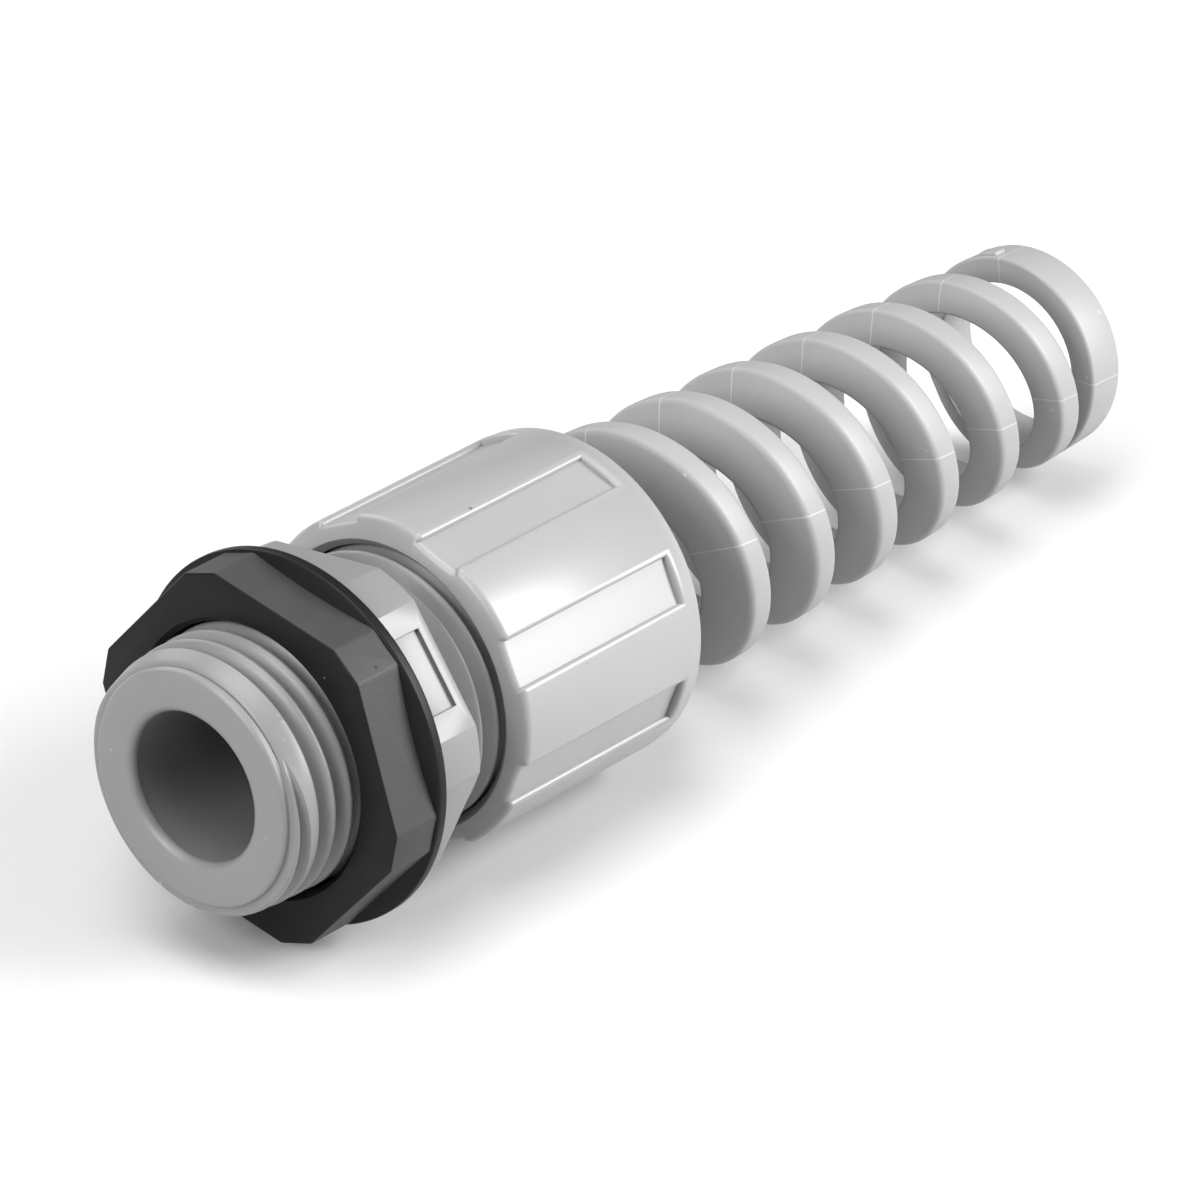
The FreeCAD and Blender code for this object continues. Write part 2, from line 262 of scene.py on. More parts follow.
def drawn(name, points, turn=0.0):
    """A closed wire of (place, radius) points, drawn by pulling one corner out to the next."""
    clear_selection()
    corners = [at(p[0], p[1], turn) for p in points]
    bpy.ops.mesh.primitive_plane_add(size=0.1, location=corners[0])
    wire = new_piece(name)
    edit_all(wire)
    bpy.ops.mesh.merge(type="CENTER")
    for start, end in zip(corners, corners[1:] + corners[:1]):
        bpy.ops.mesh.extrude_vertices_move(TRANSFORM_OT_translate={"value": end - start})
    close_edit()
    return wire


def lathed(name, points, steps=128, turn=0.0):
    """A closed section spun about the axis from a turn angle."""
    piece = drawn(name, points, turn)
    edit_all(piece)
    bpy.ops.mesh.spin(steps=steps, angle=math.tau, center=(0, 0, 0), axis=(1, 0, 0))
    close_edit()
    return piece


def turned_to(turn):
    """The rotation that brings +Z to a turn angle about the axis."""
    return Matrix.Rotation(-turn, 3, "X")


def prism(name, flats, turn, start, end):
    """A six-sided bar along the axis with one flat facing a turn angle."""
    clear_selection()
    along = Matrix(((0, 0, 1), (1, 0, 0), (0, 1, 0)))
    bpy.ops.mesh.primitive_cylinder_add(
        vertices=6, radius=flats / 2 / math.cos(math.pi / 6), depth=end - start,
        location=((start + end) / 2, 0, 0), rotation=(turned_to(turn + math.pi / 6) @ along).to_euler())
    return new_piece(name)


def block(name, start, end, width, low, high, turn):
    """A box along the axis, across a turn angle, between two heights from the axis."""
    clear_selection()
    bpy.ops.mesh.primitive_cube_add(
        size=1, location=at((start + end) / 2, (low + high) / 2, turn),
        rotation=turned_to(turn).to_euler(), scale=(end - start, width, high - low))
    return new_piece(name)


def coiled(name, points, place, turn, pitch, turns, per_turn=72):
    """A closed section wound right-handed from a place and a turn angle, with closed ends."""
    piece = drawn(name, [(place + p[0], p[1]) for p in points], turn)
    with_modifier(piece, "SCREW", axis="X", angle=math.tau * turns, screw_offset=pitch * turns,
                  steps=round(per_turn * turns), render_steps=round(per_turn * turns),
                  use_normal_calculate=False, use_merge_vertices=False)
    edit_all(piece)
    bpy.ops.mesh.fill_holes(sides=0)
    close_edit()
    return piece


def turns_of(point, place, turn, pitch):
    """How many turns along a helix from its start a point near it lies."""
    part = (turn - turn_of(point)) / math.tau
    return part + round((point.x - place) / pitch - part)


def ease(value):
    """A soft step from 0 to 1."""
    value = min(max(value, 0.0), 1.0)
    return value * value * (3 - 2 * value)


def at_radius(point, radius):
    """The point moved straight in or out to a radius."""
    return at(point.x, radius, turn_of(point))


def reshape(piece, moved):
    """Moves every corner of a mesh by a rule."""
    for v in piece.data.vertices:
        v.co = moved(v.co)


def combine(piece, other, operation):
    """Cuts with, joins or keeps what is common with another piece, which is used up."""
    with_modifier(piece, "BOOLEAN", object=other, operation=operation, solver="EXACT")
    mesh = other.data
    bpy.data.objects.remove(other)
    bpy.data.meshes.remove(mesh)


def soften(piece, width, sharper_than):
    """Rounds every edge that is sharper than an angle in degrees."""
    with_modifier(piece, "BEVEL", width=width, segments=3, limit_method="ANGLE",
                  angle_limit=math.radians(sharper_than), use_clamp_overlap=True,
                  miter_outer="MITER_ARC", loop_slide=True, harden_normals=False)


def round_ridges(piece, chosen, width, sharper_than=20):
    """Rounds the outward edges that are sharper than an angle in degrees and whose middle is chosen."""
    mesh = piece.data
    sides = {}
    for face in mesh.polygons:
        for key in face.edge_keys:
            sides.setdefault(key, []).append(face)
    edit_all(piece)
    bpy.ops.mesh.select_mode(type="EDGE")
    bpy.ops.mesh.select_all(action="DESELECT")
    bpy.ops.object.mode_set(mode="OBJECT")
    for edge in mesh.edges:
        one, other = sides[edge.key]
        middle = (mesh.vertices[edge.vertices[0]].co + mesh.vertices[edge.vertices[1]].co) / 2
        outward = (other.center - one.center).dot(one.normal) < 0
        sharp = one.normal.angle(other.normal) > math.radians(sharper_than)
        edge.select = outward and sharp and chosen(middle)
    bpy.ops.object.mode_set(mode="EDIT")
    bpy.ops.mesh.bevel(offset=width, segments=4, affect="EDGES", clamp_overlap=False, loop_slide=True)
    close_edit()


def lay(piece, material, body, node):
    """Finishes a piece: smooth shading, its place in the frame, its material and body, and hides the CAD node
    it stands for.
    """
    edit_all(piece)
    bpy.ops.mesh.remove_doubles(threshold=MERGE_DISTANCE)
    bpy.ops.object.mode_set(mode="OBJECT")
    bpy.ops.object.shade_smooth_by_angle(angle=math.radians(SMOOTH_BELOW))
    piece.matrix_world = LAID
    bpy.ops.object.transform_apply(location=True, rotation=True, scale=True)
    piece.data.materials.clear()
    piece.data.materials.append(bpy.data.materials[material])
    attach(piece, body)
    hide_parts(node)


# Finishes

# Metres of height that a full bump stands for, and how far gloss strays from a finish's roughness
BUMP_DISTANCE = 0.00005
GLOSS_SPREAD = 0.05

# The pits that specks leave in the grain, and the smallest and largest speck as a share of its cell
PIT_DEPTH = -1.2
SPECK_RADIUS = (0.06, 0.26)

# Half the width of a parting line as an angle, how pale and how high it stands, in shares of the bump
PARTING_WIDTH = 0.011
PARTING_PALE = (0.45, 0.45, 0.45, 1)
PARTING_STRENGTH = 0.35
PARTING_HEIGHT = 3.0

# The turn angle of each parting line at the entry face, and its drift over a millimetre, in degrees
SPIRAL_PARTING_LINES = ((33.3, -0.2386), (-46.1, -0.405))

# Where painted shade darkens the body's bore wall, from full to none by radius and from none to full by place
BORE_SHADE_RADII = (6.0, 6.12)
BORE_SHADE_PLACES = (0.72, 0.8)
BORE_SHADE_TINT = (0.62, 0.62, 0.63, 1)


def add(tree, kind, values=(), **settings):
    """Adds a node; values set its inputs, from a number, a colour or another node's output."""
    node = tree.nodes.new(kind)
    for name, value in settings.items():
        setattr(node, name, value)
    for name, value in dict(values).items():
        if isinstance(value, bpy.types.NodeSocket):
            tree.links.new(value, node.inputs[name])
        else:
            node.inputs[name].default_value = value
    return node


def worked(tree, operation, *values):
    """The result of a sum on numbers and other nodes' outputs."""
    return add(tree, "ShaderNodeMath", enumerate(values), operation=operation).outputs[0]


def mapped(tree, value, source, target, kind="LINEAR"):
    """A value carried from one range to another, each given by its two ends."""
    ends = {"From Min": source[0], "From Max": source[1], "To Min": target[0], "To Max": target[1]}
    node = add(tree, "ShaderNodeMapRange", {"Value": value, **ends}, interpolation_type=kind)
    return node.outputs["Result"]


def blended(tree, share, under, over, way="MIX"):
    """A colour with a share of another blended over it."""
    values = {"Factor": share, "A": under, "B": over}
    return add(tree, "ShaderNodeMix", values, data_type="RGBA", blend_type=way).outputs["Result"]


def new_group(name, place, numbers, results):
    """A group of nodes: its vector input, its number inputs with their defaults, and its outputs."""
    tree = bpy.data.node_groups.new(name, "ShaderNodeTree")
    tree.interface.new_socket(name=place, in_out="INPUT", socket_type="NodeSocketVector")
    for label, default in numbers.items():
        socket = tree.interface.new_socket(name=label, in_out="INPUT", socket_type="NodeSocketFloat")
        socket.default_value = default
    for label in results:
        tree.interface.new_socket(name=label, in_out="OUTPUT", socket_type="NodeSocketFloat")
    return tree, tree.nodes.new("NodeGroupInput").outputs, tree.nodes.new("NodeGroupOutput").inputs


def moulded_surface():
    """The group with a moulding's cloudy tone, pale and dark specks, and fine grain."""
    scales = {"Cloud Scale": 140.0, "Grain Scale": 4200.0, "Speck Scale": 1500.0, "Speck Share": 0.05}
    tree, given, out = new_group("moulded_surface", "Coordinates", scales, ("Cloud", "Specks", "Grain"))
    where = given["Coordinates"]

    cloud = add(tree, "ShaderNodeTexNoise", {"Vector": where, "Scale": given["Cloud Scale"],
                                             "Detail": 4.0, "Roughness": 0.6})
    tree.links.new(cloud.outputs["Fac"], out["Cloud"])

    cells = add(tree, "ShaderNodeTexVoronoi", {"Vector": where, "Scale": given["Speck Scale"],
                                               "Randomness": 1.0})
    chance = add(tree, "ShaderNodeSeparateColor", {"Color": cells.outputs["Color"]}).outputs
    chosen = worked(tree, "LESS_THAN", chance["Red"], given["Speck Share"])
    radius = mapped(tree, chance["Green"], (0, 1), SPECK_RADIUS)
    dot = worked(tree, "LESS_THAN", cells.outputs["Distance"], radius)
    speck = worked(tree, "MULTIPLY", chosen, dot)
    tree.links.new(speck, out["Specks"])

    fine = add(tree, "ShaderNodeTexNoise", {"Vector": where, "Scale": given["Grain Scale"],
                                            "Detail": 2.0, "Roughness": 0.5})
    pitted = worked(tree, "MULTIPLY_ADD", speck, PIT_DEPTH, fine.outputs["Fac"])
    tree.links.new(pitted, out["Grain"])


def parting_line():
    """The group with the mask of a mould's parting line, at a turn angle that drifts along the axis."""
    numbers = {"Turn": 0.0, "Drift": 0.0, "Width": PARTING_WIDTH}
    tree, given, out = new_group("parting_line", "Place", numbers, ("Mask",))
    parts = add(tree, "ShaderNodeSeparateXYZ", {"Vector": given["Place"]}).outputs
    angle = worked(tree, "ARCTAN2", parts["Y"], parts["Z"])
    wanted = worked(tree, "MULTIPLY_ADD", parts["X"], given["Drift"], given["Turn"])
    gap = worked(tree, "ABSOLUTE", worked(tree, "SUBTRACT", angle, wanted))
    line = mapped(tree, gap, (0, given["Width"]), (1, 0), "SMOOTHSTEP")
    tree.links.new(line, out["Mask"])


def moulded(name, colour, pale, speck, roughness, grain, cloud_scale=140.0, speck_share=0.05, coat=0.0,
            specular=0.5, extra=None):
    """A moulded plastic: its colour clouds towards a paler one, with specks, grain and uneven gloss."""
    material = bpy.data.materials.new(name)
    material.use_nodes = True
    tree = material.node_tree
    tree.nodes.clear()
    where = add(tree, "ShaderNodeTexCoord").outputs["Object"]
    values = {"Coordinates": where, "Cloud Scale": cloud_scale, "Speck Share": speck_share}
    surface = add(tree, "ShaderNodeGroup", values, node_tree=bpy.data.node_groups["moulded_surface"]).outputs
    clouded = blended(tree, surface["Cloud"], (*colour, 1), (*pale, 1))
    shown = blended(tree, surface["Specks"], clouded, (*speck, 1))
    gloss = mapped(tree, surface["Cloud"], (0, 1), (roughness - GLOSS_SPREAD, roughness + GLOSS_SPREAD))
    height = surface["Grain"]
    if extra:
        shown, height = extra(tree, where, shown, height)
    bump = add(tree, "ShaderNodeBump", {"Strength": grain, "Distance": BUMP_DISTANCE, "Height": height})
    shader = add(tree, "ShaderNodeBsdfPrincipled", {
        "Base Color": shown, "Roughness": gloss, "Normal": bump.outputs["Normal"], "Coat Weight": coat,
        "Coat Roughness": 0.25, "Specular IOR Level": specular})
    add(tree, "ShaderNodeOutputMaterial", {"Surface": shader.outputs["BSDF"]})


def in_axis_frame(tree, where):
    """The coordinates in millimetres along, across and up from the part's own axis."""
    turned = add(tree, "ShaderNodeMapping", {"Vector": where, "Location": START, "Rotation": (0, TILT, 0),
                                             "Scale": (MM, MM, MM)}, vector_type="TEXTURE")
    return turned.outputs["Vector"]


def parted(tree, where, shown, height):
    """The extra of the spiral's finish: the raised pale parting lines."""
    place = in_axis_frame(tree, where)
    group = bpy.data.node_groups["parting_line"]
    for turn, drift in SPIRAL_PARTING_LINES:
        values = {"Place": place, "Turn": math.radians(turn), "Drift": math.radians(drift)}
        mask = add(tree, "ShaderNodeGroup", values, node_tree=group).outputs["Mask"]
        share = worked(tree, "MULTIPLY", mask, PARTING_STRENGTH)
        shown = blended(tree, share, shown, PARTING_PALE, "SCREEN")
        height = worked(tree, "MULTIPLY_ADD", mask, PARTING_HEIGHT, height)
    return shown, height


def painted_bore_shade(tree, where, shown, height):
    """The extra of the body's finish: painted shade that darkens the wall inside the bore, behind its rounded
    lip.
    """
    parts = add(tree, "ShaderNodeSeparateXYZ", {"Vector": in_axis_frame(tree, where)}).outputs
    across = add(tree, "ShaderNodeCombineXYZ", {"Y": parts["Y"], "Z": parts["Z"]}).outputs["Vector"]
    radius = add(tree, "ShaderNodeVectorMath", {0: across}, operation="LENGTH").outputs["Value"]
    inner = mapped(tree, radius, BORE_SHADE_RADII, (1, 0))
    deep = mapped(tree, parts["X"], BORE_SHADE_PLACES, (0, 1))
    mask = worked(tree, "MULTIPLY", inner, deep)
    return blended(tree, mask, shown, BORE_SHADE_TINT, "MULTIPLY"), height


def paler(colour, factor):
    """A colour made paler or darker by a factor."""
    return tuple(c * factor for c in colour)


class CORDGRIP_OT_finishes(Operator):
    """Makes the two shared groups and the six finishes"""
    bl_idname = "cordgrip.finishes"
    bl_label = "Finishes"
    bl_options = {"REGISTER", "UNDO"}

    def execute(self, context):
        s = context.scene.cordgrip_finish
        moulded_surface()
        parting_line()
        # The body's extra paints shade on the wall inside its bore
        moulded("body_satin_grey", s.body, pale=paler(s.body, 1.12), speck=paler(s.body, 1.45),
                roughness=0.38, grain=0.10, speck_share=0.012, extra=painted_bore_shade)
        moulded("locknut_dark", s.locknut, pale=paler(s.locknut, 1.5), speck=(0.10, 0.10, 0.10),
                roughness=0.40, grain=0.16, cloud_scale=260.0, speck_share=0.008, specular=0.12)
        # Duller than the faces, and lighter as painted light for the light that the sides catch
        moulded("locknut_dull_painted_light", s.locknut_lit_sides, pale=paler(s.locknut_lit_sides, 1.35), speck=(0.01, 0.01, 0.01),
                roughness=0.5, grain=0.3, cloud_scale=420.0, speck_share=0.02, specular=0.2)
        moulded("nut_gloss_grey", s.nut, pale=paler(s.nut, 1.06), speck=paler(s.nut, 0.5),
                roughness=0.36, grain=0.03, speck_share=0.006, coat=0.15)
        moulded("spiral_matt_grey", s.spiral, pale=paler(s.spiral, 1.12), speck=paler(s.spiral, 1.4),
                roughness=0.5, grain=0.14, speck_share=0.014, extra=parted)
        moulded("grommet_rubber", s.grommet, pale=paler(s.grommet, 1.8), speck=(0.05, 0.05, 0.05),
                roughness=0.6, grain=0.25)
        return {"FINISHED"}


# The body

# The rounded lip of the bore stands a little inside it; behind the raised nose lie a valley and a
# shoulder, which eases up to the thread's full crest through these places and radii
LIP_END, BORE_START = 0.80, 0.84
LIP_STEP, LIP_ROUND = 0.05, 0.72
NOSE_ROUND = 0.36
VALLEY_PLACE, VALLEY_ROUND = 0.62, 0.2
SHOULDER_PLACE, SHOULDER_RADIUS, SHOULDER_ROUND = 0.42, 10.14, 0.24
SHOULDER_EASE = ((0.75, 10.28), (1.1, 10.33), (1.6, 10.38))

# Ahead of the thread's start the shoulder is a plain cone: its reach in turn angle, in degrees, with
# the angles over which it comes in and goes out, its place, foot, drop and shift
CONE_FIRST_TURN, CONE_COMES_IN = -88, 40
CONE_LAST_TURN, CONE_GOES_OUT = 80, 50
CONE_FROM, CONE_TO = 0.2, 2.15
CONE_START, CONE_LENGTH = 0.4, 1.8
CONE_FOOT, CONE_DROP, CONE_SHIFT = 0.6, 0.62, 0.26

# The clamping thread's ends, the neck in front of it and the fingers behind it
NECK_UNDERCUT = 0.05
CLAMP_ROUND, CLAMP_CHAMFER = 0.5, 0.7
FINGER_ROOT_RADIUS, FINGER_TIP_RADIUS = 9.65, 8.95
FINGER_CHAMFER, FINGER_ROUND = 0.5, 0.2
FINGERS, FINGER_SLOT = 8, 1.4

# The hexagon: the radius inside the neck where its ring begins, its edges, and the pocket in one flat
HEX_CORE = 9.2
HEX_EDGE_ROUND, HEX_EDGE_ANGLE = 0.16, 12
POCKET_LENGTH, POCKET_WIDTH, POCKET_DEPTH = 2.8, 6.3, 0.35
POCKET_WALL = 0.9

# Thread grooves: half their width at the crest, half their flat root, and where each one starts, at
# which turn angle in degrees, and for how many turns. The entry thread tapers by a share of its length
ENTRY_TAPER = 1 / 32
ENTRY_HALF, ENTRY_ROOT = 0.70, 0.10
ENTRY_GROOVE = (1.28, -50, 5.25)
CLAMP_HALF, CLAMP_ROOT = 0.775, 0.125
CLAMP_GROOVE = (18.005, 100, 6.6)

# A groove's corner at the root, and how its flank rolls over at the crest: steps outwards from half the
# width, and heights from the crest
ROOT_BREAK = (0.06, 0.07)
CREST_BREAK = ((-0.25, -0.42), (-0.16, -0.27), (-0.08, -0.16), (0, -0.08), (0.09, -0.025), (0.19, 0.02),
               (0.22, 0.5))

# The entry groove comes in shallow and shifted forwards, and runs out clear of the crest at its end:
# a share of its depth, a clearance, a shift, and the turns over which they ease
GROOVE_LIFT, GROOVE_LIFT_TURNS, GROOVE_RUN_OUT_TURNS = 0.42, 0.22, 0.15
GROOVE_CLEAR = 0.1
GROOVE_SHIFT, GROOVE_SHIFT_TURNS = 0.5, 0.3


def body_section(s):
    """The body's turned section, from the bore's lip over the nose, threads and fingers to the seat."""
    neck = s.clamp_crest - s.clamp_depth - NECK_UNDERCUT
    step = HEX_START + PAST
    front = [
        (BORE_START, s.bore, 0), (LIP_END, s.bore - LIP_STEP, 0), (0, s.bore - LIP_STEP, LIP_ROUND),
        (0, s.nose, NOSE_ROUND), (VALLEY_PLACE, s.nose, VALLEY_ROUND),
        (SHOULDER_PLACE, SHOULDER_RADIUS, SHOULDER_ROUND),
    ]
    shoulder = [(place, radius, 0) for place, radius in SHOULDER_EASE]
    threads = [
        (CREST_START, s.entry_crest + ENTRY_TAPER * CREST_START, 0),
        (step, s.entry_crest + ENTRY_TAPER * step, 0), (step, neck, 0),
        (CLAMP_START, neck, 0), (CLAMP_START + s.clamp_crest - neck, s.clamp_crest, CLAMP_ROUND),
        (CLAMP_END - CLAMP_CHAMFER, s.clamp_crest, 0), (CLAMP_END, s.clamp_crest - CLAMP_CHAMFER, 0),
    ]
    fingers = [
        (CLAMP_END, FINGER_ROOT_RADIUS, 0), (FINGER_END - FINGER_CHAMFER, FINGER_TIP_RADIUS, FINGER_ROUND),
        (FINGER_END, FINGER_TIP_RADIUS - FINGER_CHAMFER, 0), (FINGER_END, s.seat, 0),
        (SEAT_START, s.seat, 0), (SEAT_START, s.bore, 0),
    ]
    return rounded(front + shoulder + threads + fingers)


def turn_down_shoulder(body, nose):
    """Brings the shoulder down to a plain cone ahead of the thread's start."""
    def lead_cone(point):
        radius = point.yz.length
        if not CONE_FROM < point.x < CONE_TO or radius < nose:
            return point
        turn = math.degrees(turn_of(point))
        share = ease((turn - CONE_FIRST_TURN) / CONE_COMES_IN) * ease((CONE_LAST_TURN - turn) / CONE_GOES_OUT)
        front = share * (1 - (point.x - CONE_START) / CONE_LENGTH) * ease((radius - nose) / CONE_FOOT)
        moved = at_radius(point, radius - CONE_DROP * front)
        moved.x += CONE_SHIFT * front
        return moved

    reshape(body, lead_cone)


def add_hexagon(body, s):
    """Joins on the hexagon, with its corners turned down and the pocket in the flat that faces forwards."""
    hexagon = prism("hexagon", s.hex_flats, s.hex_turn, HEX_START, HEX_END)
    start, end = HEX_START - PAST, HEX_END + PAST
    disc = lathed("hexagon_disc", [(start, HEX_CORE), (start, s.hex_corner), (end, s.hex_corner),
                                   (end, HEX_CORE)])
    combine(hexagon, disc, "INTERSECT")
    flat = s.hex_flats / 2
    pocket_end = HEX_END - POCKET_WALL
    pocket = block("pocket", pocket_end - POCKET_LENGTH, pocket_end, POCKET_WIDTH, flat - POCKET_DEPTH,
                   flat + PAST, s.hex_turn)
    combine(hexagon, pocket, "DIFFERENCE")
    soften(hexagon, HEX_EDGE_ROUND, HEX_EDGE_ANGLE)
    combine(body, hexagon, "UNION")


def groove_section(crest, half, depth, root):
    """A groove's section: straight flanks, a small flat root and softly broken crest edges."""
    side = [(root + ROOT_BREAK[0], -depth + ROOT_BREAK[1])] + [(half + x, r) for x, r in CREST_BREAK]
    whole = side[::-1] + [(root, -depth), (-root, -depth)] + [(-x, r) for x, r in side]
    return [(x, crest + r) for x, r in whole]


def cut_entry_thread(body, s):
    """Cuts the tapered entry thread."""
    start, degrees, turns = ENTRY_GROOVE
    turn = math.radians(degrees)
    section = groove_section(s.entry_crest, ENTRY_HALF, s.entry_depth, ENTRY_ROOT)
    groove = coiled("entry_groove", section, start, turn, s.entry_pitch, turns)

    def eased(point):
        along = turns_of(point, start, turn, s.entry_pitch)
        lift = GROOVE_LIFT * (1 - ease(along / GROOVE_LIFT_TURNS))
        lift += 1 - ease((turns - along) / GROOVE_RUN_OUT_TURNS)
        radius = point.yz.length + ENTRY_TAPER * point.x + lift * (s.entry_depth + GROOVE_CLEAR)
        moved = at_radius(point, radius)
        moved.x -= GROOVE_SHIFT * (1 - ease(along / GROOVE_SHIFT_TURNS))
        return moved

    reshape(groove, eased)
    combine(body, groove, "DIFFERENCE")


def cut_clamp_thread(body, s):
    """Cuts the clamping thread, from the neck to the fingers."""
    start, degrees, turns = CLAMP_GROOVE
    section = groove_section(s.clamp_crest, CLAMP_HALF, s.clamp_depth, CLAMP_ROOT)
    groove = coiled("clamp_groove", section, start, math.radians(degrees), s.clamp_pitch, turns)
    combine(body, groove, "DIFFERENCE")


def cut_finger_slots(body, reach):
    """Parts the fingers by slots, each cut right across the axis through two sides."""
    for i in range(FINGERS // 2):
        slot = block("finger_slot", CLAMP_END, FINGER_END + PAST, FINGER_SLOT, -reach, reach,
                     math.tau * i / FINGERS)
        combine(body, slot, "DIFFERENCE")


class CORDGRIP_OT_body(Operator):
    """Builds the body: entry thread, hexagon, clamping thread and fingers"""
    bl_idname = "cordgrip.body"
    bl_label = "Moulded body"
    bl_options = {"REGISTER", "UNDO"}

    def execute(self, context):
        s = context.scene.cordgrip_body
        body = lathed("moulded_body", body_section(s))
        turn_down_shoulder(body, s.nose)
        add_hexagon(body, s)
        cut_entry_thread(body, s)
        cut_clamp_thread(body, s)
        cut_finger_slots(body, s.clamp_crest + PAST)
        lay(body, "body_satin_grey", "body", "gland_body")
        return {"FINISHED"}


# The locknut: how far its bar stops inside the flange, its edges, its flange with a sloped front, and
# its bore, which the flange's blank fills in part
BAR_SHORT = 0.2
LOCKNUT_EDGE_ROUND, LOCKNUT_EDGE_ANGLE = 0.18, 20
FLANGE_THICKNESS, FLANGE_SLOPE, FLANGE_ROUND = 0.9, 0.5, 0.2
FLANGE_FOOT, FLANGE_FILL = 0.2, 0.4
BORE_CHAMFER, BORE_ROUND = 0.4, 0.15

# What counts as one of its sides: how much of a face's normal may lie along the axis, how far out the
# face lies, in shares of the bore, and how far in front of the flange
SIDE_LEAN, SIDE_RADIUS, SIDE_CLEAR = 0.5, 1.1, 0.05


def locknut_bar(s):
    """The locknut's six-sided bar with its cut corners."""
    bar = prism("flat_locknut", s.flats, s.turn, LOCKNUT_START, LOCKNUT_END - BAR_SHORT)
    corners = prism("corner_cut", s.corner_flats, s.turn + math.pi / 6, LOCKNUT_START - PAST,
                    LOCKNUT_END + PAST)
    combine(bar, corners, "INTERSECT")
    soften(bar, LOCKNUT_EDGE_ROUND, LOCKNUT_EDGE_ANGLE)
    return bar


def locknut_flange(s, rim):
    """The round flange, whose front slopes out from the flats to its rim."""
    core, foot = s.bore - FLANGE_FILL, s.flats / 2 - FLANGE_FOOT
    return lathed("flange", rounded([
        (rim - FLANGE_SLOPE, core, 0), (rim - FLANGE_SLOPE, foot, 0), (rim, s.flange, FLANGE_ROUND),
        (LOCKNUT_END, s.flange, FLANGE_ROUND), (LOCKNUT_END, core, 0),
    ]))


def locknut_hole(bore):
    """The shape of the locknut's bore, with a chamfer at both ends."""
    start, end, wide = LOCKNUT_START - PAST, LOCKNUT_END + PAST, bore + BORE_CHAMFER + PAST
    return lathed("locknut_bore", rounded([
        (start, 0, 0), (start, wide, 0), (LOCKNUT_START + BORE_CHAMFER, bore, BORE_ROUND),
        (LOCKNUT_END - BORE_CHAMFER, bore, BORE_ROUND), (end, wide, 0), (end, 0, 0),
    ]))


def paint_light_on_sides(nut, bore, rim):
    """Gives the six sides and their cut corners a duller black than the faces, made lighter as painted light
    for the light that the sides catch.
    """
    nut.data.materials.append(bpy.data.materials["locknut_dull_painted_light"])
    for face in nut.data.polygons:
        place = (face.center - START).dot(AXIS)
        away = (face.center - START - AXIS * place).length
        outside = away > bore * SIDE_RADIUS * MM and place < (rim - SIDE_CLEAR) * MM
        if outside and abs(face.normal.dot(AXIS)) < SIDE_LEAN:
            face.material_index = 1


class CORDGRIP_OT_locknut(Operator):
    """Builds the locknut with its cut corners and round flange"""
    bl_idname = "cordgrip.locknut"
    bl_label = "Locknut"
    bl_options = {"REGISTER", "UNDO"}

    def execute(self, context):
        s = context.scene.cordgrip_locknut
        rim = LOCKNUT_END - FLANGE_THICKNESS
        nut = locknut_bar(s)
        combine(nut, locknut_flange(s, rim), "UNION")
        combine(nut, locknut_hole(s.bore), "DIFFERENCE")
        lay(nut, "locknut_dark", "locknut", "locknut")
        # The sides get a lighter black, which is painted light for the light they catch
        paint_light_on_sides(nut, s.bore, rim)
        return {"FINISHED"}


# The compression nut: the cones on both sides of its mouth, the step behind its pads, its rear edges,
# the neck hole in its rear wall, and the inner cone that closes the fingers
NUT_STEPS = 120
MOUTH_ROUND, MOUTH_INNER_CONE, MOUTH_OUTER_CONE = 0.12, 0.6, 0.62
PAD_STEP, NUT_DRAFT = 0.06, 0.1
NUT_REAR_ROUND, NUT_NECK_ROUND = 0.3, 0.2
NUT_NECK_RADIUS = 8.28
CONE_END_RADIUS, INNER_CONE_LENGTH = 9.0, 3.1

# Its wrench grooves: the wall behind them, and the rounding of their edges, which leaves out the rear
# end of the nut and takes in what lies a little under the groove's floor
GROOVE_WALL = 1.95
RIDGE_ROUND, RIDGE_END, RIDGE_UNDER = 0.42, 1.5, 0.15


def nut_section(s):
    """The nut's turned section."""
    return rounded([
        (NUT_START, s.mouth, MOUTH_ROUND), (NUT_START + MOUTH_OUTER_CONE, s.radius, 0),
        (PAD_END, s.radius, 0), (PAD_STEP_END, s.radius - PAD_STEP, 0),
        (NUT_END, s.radius - NUT_DRAFT, NUT_REAR_ROUND), (NUT_END, NUT_NECK_RADIUS, NUT_NECK_ROUND),
        (NUT_WALL_START, NUT_NECK_RADIUS, 0), (NUT_WALL_START, CONE_END_RADIUS, 0),
        (NUT_WALL_START - INNER_CONE_LENGTH, s.bore, 0), (NUT_START + MOUTH_INNER_CONE, s.bore, 0),
    ])


class CORDGRIP_OT_nut(Operator):
    """Builds the long compression nut with its wrench grooves"""
    bl_idname = "cordgrip.nut"
    bl_label = "Compression nut"
    bl_options = {"REGISTER", "UNDO"}

    def execute(self, context):
        s = context.scene.cordgrip_nut
        nut = lathed("fluted_nut", nut_section(s), NUT_STEPS, s.groove_turn + math.pi / s.grooves)
        floor = s.radius - s.groove_depth
        for i in range(s.grooves):
            turn = s.groove_turn + math.tau * i / s.grooves
            groove = block("wrench_groove", NUT_START - PAST, NUT_END - GROOVE_WALL, s.groove_width, floor,
                           s.radius + PAST, turn)
            combine(nut, groove, "DIFFERENCE")
        round_ridges(nut, lambda p: p.x < NUT_END - RIDGE_END and p.yz.length > floor - RIDGE_UNDER,
                     RIDGE_ROUND)
        lay(nut, "nut_gloss_grey", "nut", "compression_nut")
        return {"FINISHED"}


